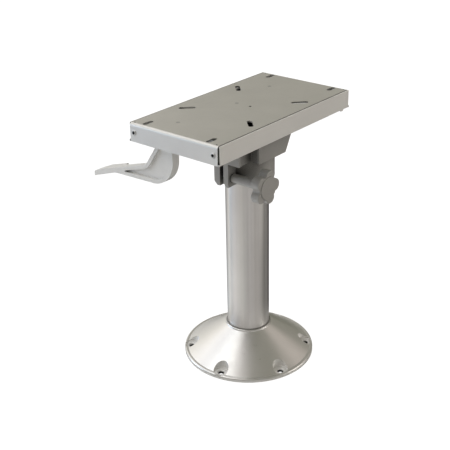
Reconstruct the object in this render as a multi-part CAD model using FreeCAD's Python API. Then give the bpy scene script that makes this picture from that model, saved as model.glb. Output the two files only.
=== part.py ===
import FreeCAD, Part
import math
import os

# Boat seat pedestal: a bolt-down base with a round column, a clamped swivel head,
# and a fore-and-aft seat slide that a side lever locks.
# Millimetres. The origin is the centre of the base's bolt circle, on the floor.
# +Z is up, X is the direction in which the seat slides, the lever's grip points to +Y.

V = FreeCAD.Vector
UP = V(0, 0, 1)

# Clearances
RUN_GAP = 0.3            # between pieces that move past each other
FIT_GAP = 0.05           # radial, between a shaft and its bearing
OVERCUT = 1.0            # how far a cutter runs past the face that it opens

# Floor base
BASE_RADIUS = 114.3
RIM_HEIGHT = 7.0
RIM_ROUND = 3.0
CONE_ANGLE = 34.5        # degrees above the floor
NECK_RADIUS = 40.0
NECK_FOOT = 54.0         # height where the cone meets the neck lip
NECK_LIP = 3.0
NECK_ROUND = 1.2
BASE_WALL = 6.0
RIM_WIDTH = 16.3
SOCKET_WALL = 6.5
SOCKET_FLOOR = 4.0
SOCKET_LEDGE = 6.5
RIB_THICKNESS = 4.0
HOLE_COUNT = 6
HOLE_EDGE = 12.7         # from a hole's centre to the base's edge
HOLE_PHASE = 10.85       # degrees from +X
HOLE_RADIUS = 3.75
HOLE_SINK_RADIUS = 7.0
POCKET_RADIUS = 13.0
POCKET_FLOOR = 5.5
POCKET_WALL = 4.0
SET_SCREW_RADIUS = 4.0
SET_SCREW_HEIGHT = 20.0
SET_SCREW_COUNT = 3
SET_SCREW_PROUD = 1.5
SET_SCREW_KEY = 4.0
SET_SCREW_KEY_DEPTH = 3.5

# Column
TUBE_RADIUS = 36.5
TUBE_WALL = 3.2
TUBE_TOP = 371.5         # the column's height sets the head's and the seat plate's
SEAL_WIDTH = 2.2
SEAL_HEIGHT = 2.1
SEAL_DROP = 0.4          # below the neck's lip
PLUG_LENGTH = 30.0
THRUST_THICKNESS = 2.5
THRUST_BORE = 14.0

# Head retaining bolt
BOLT_RADIUS = 6.0
BOLT_HEAD_FLATS = 19.0
BOLT_HEAD_HEIGHT = 7.5
BOLT_HEAD_CROWN = 0.6    # how far the flat of the crown reaches past the hexagon's flats
BOLT_WASHER_RADIUS = 18.0
BOLT_WASHER_THICKNESS = 2.5

# Swivel head casting
SLEEVE_WALL = 2.45
SLEEVE_LIP = 1.5
SLEEVE_LIP_REACH = 3.0
SLEEVE_TOP_DROP = 0.5    # below the tube's top
SLEEVE_SLIT = 3.0
COLLAR_WALL = 7.0
COLLAR_HEIGHT = 40.0
HEAD_LIFT = 3.5          # from the tube's top to the underside of the box
HEAD_FLOOR_THICKNESS = 7.3
HEAD_HEIGHT = 45.0
HEAD_WALL = 5.0
BLOCK_FRONT_REACH = 13.0           # from the collar to the front plate's inner face
BLOCK_REAR_REACH = 14.0            # from the collar to the box's rear face
BLOCK_HALF = 34.0
FRONT_PLATE = 5.0
FRONT_PLATE_HALF = 38.0
FRONT_PLATE_TOP_HALF = 31.0
WING_HALF = 31.0
WING_REACH_PAST_COLLAR = 3.0
WING_PLATE = 4.0
WING_PLATE_HALF = 35.0
WING_FLARE_MID = 50.0
WING_FLARE_TOP = 58.0
FLARE_HEIGHT = 28.0      # above the box's underside
HEAD_ROUND = 2.0
EAR_GAP = 7.6
EAR_RIGHT = 13.5         # reach of the knob-side ear in -Y
EAR_LEFT = 15.4          # reach of the nut-side ear in +Y
EAR_ROOT = -36.0
EAR_CHAMFER = 6.0
EAR_CHAMFER_LENGTH = 22.0
HEAD_SCREW_X = 46.0
HEAD_SCREW_Y = 21.0
HEAD_SCREW_RADIUS = 3.0
HEAD_SCREW_LENGTH = 20.0
HEAD_SCREW_SINK = 2.6
HEAD_SCREW_KEY = 4.0
HEAD_SCREW_KEY_DEPTH = 2.0
HEAD_BOSS_RADIUS = 7.0

# Clamp knob
CLAMP_REACH = 6.0        # from the collar to the stud's axis
CLAMP_HEIGHT = 13.8      # above the collar's lower edge
STUD_RADIUS = 4.0
STUD_TIP = 20.0
STUD_IN_KNOB = 7.0
STUD_CHAMFER = 0.8
NUT_FLATS = 13.0
NUT_HEIGHT = 6.5
NUT_SINK = 5.0
WASHER_RADIUS = 7.75
WASHER_THICKNESS = 1.3
SHANK_RADIUS = 7.5
STAR_BACK = -69.1
STAR_THICKNESS = 15.5
STAR_LOBES = 5
LOBE_REACH = 28.4
LOBE_RADIUS = 9.0
VALLEY_REACH = 17.8      # where the flanks of two lobes would meet
VALLEY_ROUND = 5.0
STAR_ROUND = 1.4
STAR_CAP_RADIUS = 18.8   # round panel raised on the star's face
STAR_CAP_HEIGHT = 1.4
STAR_CAP_ROUND = 0.6
STAR_BOSS_RADIUS = 11.0
STAR_BOSS_LENGTH = 5.0

# Seat plate: a bent top sheet between two side rails
SEAT_CENTRE = -6.0       # where the slide stands along X
SEAT_LENGTH = 335.6
SEAT_HALF_WIDTH = 90.0
SEAT_RISE = 35.1         # from the head's top to the seat plate's top
SEAT_DEPTH = 30.2
SHEET = 2.5
BEND_RADIUS = 5.0
SHEET_EDGE_GAP = 1.2     # groove between the sheet's edge and the rail's wall
CORNER_TAB = 2.8
RAIL_WALL = 1.8
RAIL_LIP = 2.5
RAIL_LIP_REACH = 14.0
RAIL_TOP_LIP_REACH = 20.0
RAIL_TOP_DROP = 0.3
RAIL_ROUND = 1.0
LUG_INSET = 20.8         # from the plate's +X end
LUG_LENGTH = 7.0
LUG_HEIGHT = 1.9
LUG_ROUND = 1.0
DIAGONAL_SLOT_OFFSET = 63.5
DIAGONAL_SLOT_LENGTH = 27.5
END_SLOT_INSET = 15.4    # from the plate's end to the slot's centre
END_SLOT_Y = 63.5
END_SLOT_LENGTH = 20.4
SLOT_WIDTH = 8.2
CENTRE_HOLE = (1.1, -12.3)
CENTRE_HOLE_RADIUS = 2.2
RELIEF_INSET = 5.6       # from the plate's end
RELIEF_EDGE = 5.5        # from the sheet's edge
RELIEF_RADIUS = 1.4
END_BLOCK_LENGTH = 22.0
END_BLOCK_WIDTH = 16.2
END_RIVET_INSET = 11.0   # from the plate's side
END_RIVET_DROP = 14.8    # below the seat top
RIVET_RADIUS = 2.4
RIVET_HEAD_RADIUS = 4.7
RIVET_HEAD_HEIGHT = 1.5
RIVET_CORE_RADIUS = 1.5
PAN_RIVET_SINK = 1.0     # depth and extra radius of a pan rivet's flush head

# Slide base on the head
BASE_SHEET = 3.0
SLIDE_TRAVEL = 50.0      # each way of the middle
SLIDE_WEB_INSET = 20.0   # from the plate's side to the channel's wall
SLIDE_FLANGE_INSET = 7.0
SLIDE_FLANGE_DROP = 18.1 # from the seat plate's top
SLIDE_HOLE_RADIUS = 20.0
LEVER_NOTCH_Y = 12.0
LEVER_NOTCH_DEPTH = 18.0
LEVER_NOTCH_ROUND = 4.0
GLIDE_INNER_INSET = 16.5 # from the plate's side
GLIDE_ROUND = 1.0
GLIDE_TOE = 2.0          # chamfer beside the rail's lower lip
STRIP_HALF_WIDTH = 8.0
STRIP_THICKNESS = 4.0
STRIP_INSET = 22.0       # from the slide base's end
STRIP_ROUND = 2.0
STRIP_RIVET_INSET = 11.0 # from the strip's end
STRIP_RIVET_RADIUS = 2.5
STRIP_RIVET_DROP = 1.0   # below the strip's top, clear of the cam

# Lock lever and its shaft
PIVOT_Y = 36.0
PIVOT_DROP = 17.1        # from the seat plate's top
SHAFT_RADIUS = 5.0
SHAFT_TAIL = 2.4         # past the clip
LEVER_INSET = 23.8       # from the plate's -X end
LEVER_DEPTH = 15.0
PADDLE_DEPTH = 25.0
HUB_RADIUS = 12.0
LEVER_RIM = 6.0
LEVER_RECESS = 5.0
HEEL_RADIUS = 46.0
HEEL_DROP = 84.6         # from the pivot down to the lever's underside
ARM_UNDER_END = (118.0, 89.4, 30.0)      # out and down from the pivot, and the corner's radius
TIP_UNDER = (176.5, 109.7, 3.0)
TIP_TOP = (176.5, 102.6, 3.0)
PADDLE_CREST = (150.0, 90.8, 60.0)
NECK_BEND = (47.1, 59.1, 20.0)
NECK_FRONT = (24.8, 26.4, 12.0)
NECK_START = (12.0, 7.0, 8.0)
RECESS_END = 95.5        # from the pivot along Y
HUB_RIM = 2.0            # between the hub's edge and the recess
PADDLE_START = 106.0     # from the pivot along Y
PADDLE_FLARE = 10.0
PADDLE_BEND = 4.0
PADDLE_EDGE = 2.0
PADDLE_CORNER = 8.0
PIN_RADIUS = 1.5
PIN_SINK = 1.0           # each end lies below the surface
CAM_LENGTH = 12.0
CAM_HUB = 8.0
CAM_NOSE = 3.0
CAM_LEAN = 10.0          # degrees past straight down, towards +Y
BRACKET_SHEET = 2.5
BRACKET_HALF = 10.0
BRACKET_ROUND = 9.5
BRACKET_FOOT = 10.0
FRONT_RIVET_INSET = 44.1          # from the plate's -X end
REAR_RIVET_INSET = 63.6           # from the plate's +X end
END_BRACKET_RIVET_Y = 28.1
CENTRE_RIVET = (1.1, 15.0)        # from the seat centre
BUSH_WALL = 2.0
BUSH_FLANGE = 1.0
BUSH_FLANGE_REACH = 1.0
CLIP_RADIUS = 8.5
CLIP_THICKNESS = 1.2
CLIP_GROOVE = 1.0
CLIP_MOUTH = 6.0
SPRING_WIRE = 0.8
SPRING_RADIUS = 9.0
SPRING_TURNS = 5
SPRING_PITCH = 2.0
SPRING_ELBOW = 2.0

# Worked-out places
HOLE_CIRCLE = 2 * (BASE_RADIUS - HOLE_EDGE)
HEAD_FLOOR = TUBE_TOP + HEAD_LIFT
HEAD_FLOOR_TOP = HEAD_FLOOR + HEAD_FLOOR_THICKNESS
HEAD_TOP = HEAD_FLOOR + HEAD_HEIGHT
FLARE_Z = HEAD_FLOOR + FLARE_HEIGHT
COLLAR_BOTTOM = HEAD_FLOOR - COLLAR_HEIGHT
CLAMP_Z = COLLAR_BOTTOM + CLAMP_HEIGHT
SEAT_TOP = HEAD_TOP + SEAT_RISE
SEAT_X0 = SEAT_CENTRE - SEAT_LENGTH / 2
SEAT_X1 = SEAT_CENTRE + SEAT_LENGTH / 2
SEAT_BOTTOM = SEAT_TOP - SEAT_DEPTH
SHEET_UNDER = SEAT_TOP - SHEET
RAIL_X0 = SEAT_X0 + SHEET
RAIL_X1 = SEAT_X1 - SHEET
RAIL_INNER_WALL = SEAT_HALF_WIDTH - RAIL_WALL
SHEET_HALF_WIDTH = RAIL_INNER_WALL - SHEET_EDGE_GAP
RAIL_LIP_INNER = SEAT_HALF_WIDTH - RAIL_LIP_REACH
RAIL_TOP_LIP_INNER = SEAT_HALF_WIDTH - RAIL_TOP_LIP_REACH
END_BLOCK_INNER = RAIL_INNER_WALL - END_BLOCK_WIDTH
END_RIVET_Y = SEAT_HALF_WIDTH - END_RIVET_INSET
RAIL_FLOOR = SEAT_BOTTOM + RAIL_LIP
RAIL_CEILING = SHEET_UNDER - RAIL_LIP
SLIDE_HALF_LENGTH = SEAT_LENGTH / 2 - SHEET - END_BLOCK_LENGTH - SLIDE_TRAVEL - RUN_GAP
SLIDE_WEB_HALF = SEAT_HALF_WIDTH - SLIDE_WEB_INSET
SLIDE_FLANGE_REACH = SEAT_HALF_WIDTH - SLIDE_FLANGE_INSET
SLIDE_FLANGE_TOP = SEAT_TOP - SLIDE_FLANGE_DROP
GLIDE_INNER = SEAT_HALF_WIDTH - GLIDE_INNER_INSET
STRIP_HALF_LENGTH = SLIDE_HALF_LENGTH - STRIP_INSET
STRIP_RIVET_X = STRIP_HALF_LENGTH - STRIP_RIVET_INSET
PIVOT_Z = SEAT_TOP - PIVOT_DROP
WEB_TOP = HEAD_TOP + BASE_SHEET
STRIP_TOP = WEB_TOP + STRIP_THICKNESS
SLEEVE_INNER = TUBE_RADIUS + FIT_GAP
SLEEVE_OUTER = SLEEVE_INNER + SLEEVE_WALL
COLLAR_RADIUS = SLEEVE_OUTER + COLLAR_WALL
BLOCK_FRONT = -COLLAR_RADIUS - BLOCK_FRONT_REACH
BLOCK_REAR = COLLAR_RADIUS + BLOCK_REAR_REACH
WING_REACH = COLLAR_RADIUS + WING_REACH_PAST_COLLAR
CLAMP_X = -COLLAR_RADIUS - CLAMP_REACH
TUBE_BORE = TUBE_RADIUS - TUBE_WALL
THRUST_TOP = TUBE_TOP + THRUST_THICKNESS
CEILING_UNDER = THRUST_TOP + RUN_GAP
BOLT_SEAT = HEAD_FLOOR_TOP + RUN_GAP
HEAD_FRONT = BLOCK_FRONT - FRONT_PLATE
SHANK_FACE = -EAR_RIGHT - RUN_GAP - WASHER_THICKNESS - RUN_GAP
STAR_FRONT = STAR_BACK - STAR_THICKNESS
LEVER_FRONT = SEAT_X0 + LEVER_INSET
LEVER_BACK = LEVER_FRONT + LEVER_DEPTH
LEVER_LOW = PIVOT_Z - TIP_UNDER[1] - OVERCUT
LEVER_HIGH = PIVOT_Z + HUB_RADIUS + OVERCUT


def at(plane, a, b, depth):
    """Point (a, b) of an outline, on the plane across the named axis."""
    if plane == "x":
        return V(depth, a, b)
    if plane == "y":
        return V(a, depth, b)
    return V(a, b, depth)


def unit(a, b):
    length = math.hypot(a, b)
    return a / length, b / length


def outline(plane, depth, points):
    """Closed wire through (a, b) or (a, b, radius); a radius rounds that corner."""
    stops = []
    count = len(points)
    for i in range(count):
        a, b = points[i][:2]
        radius = points[i][2] if len(points[i]) > 2 else 0
        if radius == 0:
            stops.append((at(plane, a, b, depth),))
            continue
        back = unit(points[i - 1][0] - a, points[i - 1][1] - b)
        ahead = unit(points[(i + 1) % count][0] - a, points[(i + 1) % count][1] - b)
        half = math.acos(back[0] * ahead[0] + back[1] * ahead[1]) / 2
        reach = radius / math.tan(half)
        mid = unit(back[0] + ahead[0], back[1] + ahead[1])
        drop = radius / math.sin(half) - radius
        stops.append((
            at(plane, a + back[0] * reach, b + back[1] * reach, depth),
            at(plane, a + mid[0] * drop, b + mid[1] * drop, depth),
            at(plane, a + ahead[0] * reach, b + ahead[1] * reach, depth),
        ))
    edges = []
    for i in range(count):
        if len(stops[i]) == 3:
            edges.append(Part.Arc(*stops[i]).toShape())
        start = stops[i][-1]
        end = stops[(i + 1) % count][0]
        if start.distanceToPoint(end) > 0.001:
            edges.append(Part.LineSegment(start, end).toShape())
    return Part.Wire(edges)


def prism(plane, start, end, points):
    """Outline pushed along its plane's axis from start to end."""
    face = Part.Face(outline(plane, start, points))
    return face.extrude(at(plane, 0, 0, end - start))


def turned(points):
    """Profile of (radius, height) turned about the column's axis."""
    return Part.Face(outline("y", 0, points)).revolve(V(0, 0, 0), UP, 360)


def rod(plane, radius, start, end, a=0, b=0):
    """Cylinder along the named axis."""
    return Part.makeCylinder(radius, end - start, at(plane, a, b, start), at(plane, 0, 0, 1))


def pipe(plane, outer, inner, start, end, a=0, b=0):
    return rod(plane, outer, start, end, a, b).cut(rod(plane, inner, start, end, a, b))


def block(x0, x1, y0, y1, z0, z1):
    return Part.makeBox(x1 - x0, y1 - y0, z1 - z0, V(x0, y0, z0))


def hexagon(plane, flats, start, end, a=0, b=0):
    corner = flats / math.sqrt(3)
    points = []
    for i in range(6):
        angle = math.radians(60 * i + 30)
        points.append((a + corner * math.cos(angle), b + corner * math.sin(angle)))
    return prism(plane, start, end, points)


def joined(shapes):
    whole = shapes[0].fuse(shapes[1:]) if len(shapes) > 1 else shapes[0]
    return whole.removeSplitter()


def mirrored_y(shape):
    return shape.mirror(V(0, 0, 0), V(0, 1, 0))


def around(shape, angle):
    """Copy turned about the column's axis, in degrees."""
    turned_copy = shape.copy()
    turned_copy.rotate(V(0, 0, 0), UP, angle)
    return turned_copy


def save(name, shape):
    if not shape.isValid():
        raise ValueError(name + " is not a valid solid")
    shape.exportStep("parts/" + name + ".step")
    print(name, len(shape.Solids), round(shape.Volume / 1000, 2), "cm3")


# Pedestal: base, column and the bolt that holds the head down

def cone_height(radius):
    return NECK_FOOT - (radius - NECK_RADIUS) * math.tan(math.radians(CONE_ANGLE))


def hole_angles():
    return [HOLE_PHASE + 360 / HOLE_COUNT * i for i in range(HOLE_COUNT)]


def base_flange():
    slope = math.tan(math.radians(CONE_ANGLE))
    cone_edge = NECK_RADIUS + (NECK_FOOT - RIM_HEIGHT) / slope
    neck_top = NECK_FOOT + NECK_LIP
    body = turned([
        (0, 0), (BASE_RADIUS, 0), (BASE_RADIUS, RIM_HEIGHT, RIM_ROUND), (cone_edge, RIM_HEIGHT),
        (NECK_RADIUS, NECK_FOOT), (NECK_RADIUS, neck_top, NECK_ROUND), (0, neck_top),
    ])
    socket = TUBE_RADIUS + SOCKET_WALL
    rim_inner = BASE_RADIUS - RIM_WIDTH
    under = BASE_WALL / math.cos(math.radians(CONE_ANGLE))
    hollow = turned([
        (socket, -OVERCUT), (rim_inner, -OVERCUT), (rim_inner, cone_height(rim_inner) - under),
        (socket, cone_height(socket) - under),
    ])
    circle = HOLE_CIRCLE / 2
    inside = []
    cuts = []
    for angle in hole_angles():
        inside.append(around(rod("z", POCKET_RADIUS + POCKET_WALL, 0, neck_top, circle), angle))
        rib = block(TUBE_RADIUS, circle - POCKET_RADIUS, -RIB_THICKNESS / 2, RIB_THICKNESS / 2, 0, neck_top)
        inside.append(around(rib, angle))
        cuts.append(around(rod("z", POCKET_RADIUS, POCKET_FLOOR, neck_top, circle), angle))
        cuts.append(around(rod("z", HOLE_RADIUS, -OVERCUT, POCKET_FLOOR, circle), angle))
        sink = HOLE_SINK_RADIUS - HOLE_RADIUS
        cone = Part.makeCone(HOLE_RADIUS, HOLE_SINK_RADIUS, sink, V(circle, 0, POCKET_FLOOR - sink), UP)
        cuts.append(around(cone, angle))
    hollow = hollow.cut(inside)
    cuts.append(rod("z", TUBE_RADIUS, SOCKET_FLOOR, neck_top))
    cuts.append(rod("z", TUBE_RADIUS - SOCKET_LEDGE, -OVERCUT, SOCKET_FLOOR))
    cuts.append(rod("z", TUBE_RADIUS + SEAL_WIDTH, neck_top - SEAL_HEIGHT - SEAL_DROP, neck_top))
    for screw in set_screw_rods():
        cuts.append(screw)
    return body.cut(hollow).cut(cuts)


def set_screw_angles():
    """Between two bolt pockets, where a key reaches the screw from below."""
    first = HOLE_PHASE + 180 / HOLE_COUNT
    return [first + 360 / SET_SCREW_COUNT * i for i in range(SET_SCREW_COUNT)]


def set_screw_rods():
    end = TUBE_RADIUS + SOCKET_WALL + SET_SCREW_PROUD
    screw = rod("x", SET_SCREW_RADIUS, TUBE_RADIUS - OVERCUT, end, 0, SET_SCREW_HEIGHT)
    screw = screw.cut(rod("z", TUBE_RADIUS, SOCKET_FLOOR, NECK_FOOT))
    return [around(screw, angle) for angle in set_screw_angles()]


def tube_set_screws():
    end = TUBE_RADIUS + SOCKET_WALL + SET_SCREW_PROUD
    key = hexagon("x", SET_SCREW_KEY, end - SET_SCREW_KEY_DEPTH, end, 0, SET_SCREW_HEIGHT)
    keys = [around(key, angle) for angle in set_screw_angles()]
    return Part.makeCompound([screw.cut(keys) for screw in set_screw_rods()])


def column_tube():
    return pipe("z", TUBE_RADIUS, TUBE_BORE, SOCKET_FLOOR, TUBE_TOP)


def neck_seal():
    top = NECK_FOOT + NECK_LIP - SEAL_DROP
    return turned([
        (TUBE_RADIUS, top - SEAL_HEIGHT), (TUBE_RADIUS + SEAL_WIDTH, top - SEAL_HEIGHT),
        (TUBE_RADIUS + SEAL_WIDTH, top, SEAL_WIDTH / 3), (TUBE_RADIUS, top),
    ])


def column_plug():
    plug = rod("z", TUBE_BORE, TUBE_TOP - PLUG_LENGTH, TUBE_TOP)
    return plug.cut(rod("z", BOLT_RADIUS, TUBE_TOP - PLUG_LENGTH, TUBE_TOP))


def thrust_washer():
    return pipe("z", TUBE_RADIUS, THRUST_BORE, TUBE_TOP, THRUST_TOP)


def retaining_washer():
    return pipe("z", BOLT_WASHER_RADIUS, BOLT_RADIUS, BOLT_SEAT, BOLT_SEAT + BOLT_WASHER_THICKNESS)


def retaining_bolt():
    head_foot = BOLT_SEAT + BOLT_WASHER_THICKNESS
    shank = rod("z", BOLT_RADIUS, TUBE_TOP - PLUG_LENGTH, head_foot)
    head = hexagon("z", BOLT_HEAD_FLATS, head_foot, head_foot + BOLT_HEAD_HEIGHT)
    crown_top = BOLT_HEAD_FLATS / 2 + BOLT_HEAD_CROWN
    crown_foot = crown_top + BOLT_HEAD_HEIGHT * math.sqrt(3)
    crown = Part.makeCone(crown_foot, crown_top, BOLT_HEAD_HEIGHT, V(0, 0, head_foot), UP)
    return joined([shank, head.common(crown)])


# Swivel head

def cross_points(front, rear, block_half, wing_half, reach, radius):
    """Plus-shaped plan of the box under the slide."""
    return [
        (front, -block_half), (-wing_half, -block_half, radius), (-wing_half, -reach), (wing_half, -reach),
        (wing_half, -block_half, radius), (rear, -block_half, radius), (rear, block_half, radius),
        (wing_half, block_half, radius), (wing_half, reach), (-wing_half, reach),
        (-wing_half, block_half, radius), (front, block_half),
    ]


def swivel_head():
    collar = rod("z", COLLAR_RADIUS, COLLAR_BOTTOM, HEAD_FLOOR)
    cross = prism("z", HEAD_FLOOR, HEAD_TOP, cross_points(
        BLOCK_FRONT, BLOCK_REAR, BLOCK_HALF, WING_HALF, WING_REACH, HEAD_ROUND))
    cavity = prism("z", HEAD_FLOOR_TOP, HEAD_TOP, cross_points(
        BLOCK_FRONT + HEAD_WALL, BLOCK_REAR - HEAD_WALL, BLOCK_HALF - HEAD_WALL,
        WING_HALF - HEAD_WALL, WING_REACH - HEAD_WALL, HEAD_ROUND))
    front = prism("x", HEAD_FRONT, BLOCK_FRONT, [
        (-FRONT_PLATE_HALF, HEAD_FLOOR, HEAD_ROUND), (FRONT_PLATE_HALF, HEAD_FLOOR, HEAD_ROUND),
        (FRONT_PLATE_TOP_HALF, FLARE_Z), (FRONT_PLATE_TOP_HALF, HEAD_TOP),
        (-FRONT_PLATE_TOP_HALF, HEAD_TOP), (-FRONT_PLATE_TOP_HALF, FLARE_Z),
    ])
    wing = prism("y", -WING_REACH - WING_PLATE, -WING_REACH, [
        (-WING_PLATE_HALF, HEAD_FLOOR, HEAD_ROUND), (WING_PLATE_HALF, HEAD_FLOOR, HEAD_ROUND),
        (WING_FLARE_MID, FLARE_Z), (WING_FLARE_TOP, HEAD_TOP), (-WING_PLATE_HALF, HEAD_TOP),
    ])
    ears = block(HEAD_FRONT, EAR_ROOT, -EAR_RIGHT, EAR_LEFT, COLLAR_BOTTOM, HEAD_FLOOR)
    shell = joined([collar, cross, front, wing, mirrored_y(wing), ears])
    cuts = [cavity]
    cuts.append(rod("z", SLEEVE_OUTER, COLLAR_BOTTOM, CEILING_UNDER))
    cuts.append(rod("z", BOLT_RADIUS + FIT_GAP, CEILING_UNDER, HEAD_FLOOR_TOP))
    cuts.append(block(HEAD_FRONT, 0, -EAR_GAP / 2, EAR_GAP / 2, COLLAR_BOTTOM, CEILING_UNDER))
    for reach in (-EAR_GAP / 2, EAR_LEFT):
        cuts.append(prism("x", HEAD_FRONT, HEAD_FRONT + EAR_CHAMFER_LENGTH, [
            (reach, COLLAR_BOTTOM), (reach, COLLAR_BOTTOM + EAR_CHAMFER),
            (reach - EAR_CHAMFER, COLLAR_BOTTOM),
        ]))
    cuts.append(rod("y", STUD_RADIUS + RUN_GAP, -EAR_RIGHT, EAR_LEFT, CLAMP_X, CLAMP_Z))
    cuts.append(hexagon("y", NUT_FLATS, EAR_LEFT - NUT_SINK, EAR_LEFT, CLAMP_X, CLAMP_Z))
    shell = shell.cut(cuts)
    bosses = []
    holes = []
    for x, y in screw_places():
        bosses.append(rod("z", HEAD_BOSS_RADIUS, HEAD_FLOOR_TOP, HEAD_TOP, x, y))
        holes.append(rod("z", HEAD_SCREW_RADIUS, HEAD_TOP - HEAD_SCREW_LENGTH, HEAD_TOP, x, y))
    return joined([shell] + bosses).cut(holes)


def screw_places():
    return [(x, y) for x in (-HEAD_SCREW_X, HEAD_SCREW_X) for y in (-HEAD_SCREW_Y, HEAD_SCREW_Y)]


def swivel_sleeve():
    bottom = COLLAR_BOTTOM - SLEEVE_LIP
    lip = SLEEVE_OUTER + SLEEVE_LIP_REACH
    top = TUBE_TOP - SLEEVE_TOP_DROP
    sleeve = turned([
        (SLEEVE_INNER, bottom), (lip, bottom), (lip, COLLAR_BOTTOM),
        (SLEEVE_OUTER, COLLAR_BOTTOM), (SLEEVE_OUTER, top), (SLEEVE_INNER, top),
    ])
    return sleeve.cut(block(-lip, 0, -SLEEVE_SLIT / 2, SLEEVE_SLIT / 2, bottom, top))


def clamp_nut():
    start = EAR_LEFT - NUT_SINK
    nut = hexagon("y", NUT_FLATS, start, start + NUT_HEIGHT, CLAMP_X, CLAMP_Z)
    return nut.cut(rod("y", STUD_RADIUS + FIT_GAP, start, start + NUT_HEIGHT, CLAMP_X, CLAMP_Z))


def slide_base():
    web_edge = SLIDE_WEB_HALF
    leg_inner = SLIDE_WEB_HALF - BASE_SHEET
    flange_under = SLIDE_FLANGE_TOP - BASE_SHEET
    hat = prism("x", -SLIDE_HALF_LENGTH, SLIDE_HALF_LENGTH, [
        (-web_edge, HEAD_TOP, BASE_SHEET), (web_edge, HEAD_TOP, BASE_SHEET), (web_edge, flange_under),
        (SLIDE_FLANGE_REACH, flange_under), (SLIDE_FLANGE_REACH, SLIDE_FLANGE_TOP),
        (leg_inner, SLIDE_FLANGE_TOP, BASE_SHEET), (leg_inner, WEB_TOP), (-leg_inner, WEB_TOP),
        (-leg_inner, SLIDE_FLANGE_TOP, BASE_SHEET), (-SLIDE_FLANGE_REACH, SLIDE_FLANGE_TOP),
        (-SLIDE_FLANGE_REACH, flange_under), (-web_edge, flange_under),
    ])
    notch_end = -SLIDE_HALF_LENGTH + LEVER_NOTCH_DEPTH
    cuts = [prism("z", HEAD_TOP, WEB_TOP, [
        (-SLIDE_HALF_LENGTH - OVERCUT, LEVER_NOTCH_Y), (notch_end, LEVER_NOTCH_Y, LEVER_NOTCH_ROUND),
        (notch_end, leg_inner), (-SLIDE_HALF_LENGTH - OVERCUT, leg_inner),
    ])]
    cuts.append(rod("z", SLIDE_HOLE_RADIUS, HEAD_TOP, WEB_TOP))
    for x, y in screw_places():
        cuts.append(screw_shape(x, y))
    for rivet in strip_rivet_rods():
        cuts.append(rivet)
    return hat.cut(cuts)


def screw_shape(x, y):
    """Countersunk screw whose head is flush with the slide base's web."""
    sink = HEAD_SCREW_SINK
    shank = rod("z", HEAD_SCREW_RADIUS, HEAD_TOP - HEAD_SCREW_LENGTH, WEB_TOP, x, y)
    head = Part.makeCone(HEAD_SCREW_RADIUS, HEAD_SCREW_RADIUS + sink, sink, V(x, y, WEB_TOP - sink), UP)
    return joined([shank, head])


def base_screws():
    screws = []
    for x, y in screw_places():
        key = hexagon("z", HEAD_SCREW_KEY, WEB_TOP - HEAD_SCREW_KEY_DEPTH, WEB_TOP, x, y)
        screws.append(screw_shape(x, y).cut(key))
    return Part.makeCompound(screws)


def strip_rivet_rods():
    return [rod("z", STRIP_RIVET_RADIUS, HEAD_TOP, STRIP_TOP - STRIP_RIVET_DROP, x, PIVOT_Y)
            for x in (-STRIP_RIVET_X, STRIP_RIVET_X)]


def strip_rivets():
    return Part.makeCompound(strip_rivet_rods())


def lock_strip():
    x = STRIP_HALF_LENGTH
    y0 = PIVOT_Y - STRIP_HALF_WIDTH
    y1 = PIVOT_Y + STRIP_HALF_WIDTH
    strip = prism("z", WEB_TOP, STRIP_TOP, [
        (-x, y0, STRIP_ROUND), (x, y0, STRIP_ROUND), (x, y1, STRIP_ROUND), (-x, y1, STRIP_ROUND),
    ])
    holes = [rod("z", STRIP_RIVET_RADIUS, WEB_TOP, STRIP_TOP, x, PIVOT_Y)
             for x in (-STRIP_RIVET_X, STRIP_RIVET_X)]
    return strip.cut(holes)


def glide():
    """Nylon runner on the slide base's flange, on the -Y side."""
    inner = GLIDE_INNER
    outer = RAIL_INNER_WALL - RUN_GAP
    low = RAIL_FLOOR + RUN_GAP
    high = RAIL_CEILING - RUN_GAP
    flange_under = SLIDE_FLANGE_TOP - BASE_SHEET
    return prism("x", -SLIDE_HALF_LENGTH, SLIDE_HALF_LENGTH, [
        (-outer, low, GLIDE_ROUND), (-inner - GLIDE_TOE, low), (-inner, low + GLIDE_TOE),
        (-inner, flange_under), (-SLIDE_FLANGE_REACH, flange_under), (-SLIDE_FLANGE_REACH, SLIDE_FLANGE_TOP),
        (-inner, SLIDE_FLANGE_TOP), (-inner, high), (-outer, high, GLIDE_ROUND),
    ])


# Clamp knob

def clamp_washer():
    start = -EAR_RIGHT - RUN_GAP - WASHER_THICKNESS
    return pipe("y", WASHER_RADIUS, STUD_RADIUS + FIT_GAP, start, start + WASHER_THICKNESS, CLAMP_X, CLAMP_Z)


def star_points():
    points = []
    step = 2 * math.pi / STAR_LOBES
    for i in range(STAR_LOBES):
        angle = step * i
        along = (math.cos(angle), math.sin(angle))
        for side in (-1, 1):
            points.append((
                CLAMP_X + along[0] * LOBE_REACH - along[1] * side * LOBE_RADIUS,
                CLAMP_Z + along[1] * LOBE_REACH + along[0] * side * LOBE_RADIUS,
                LOBE_RADIUS,
            ))
        between = angle + step / 2
        points.append((
            CLAMP_X + VALLEY_REACH * math.cos(between),
            CLAMP_Z + VALLEY_REACH * math.sin(between),
            VALLEY_ROUND,
        ))
    return points


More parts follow.
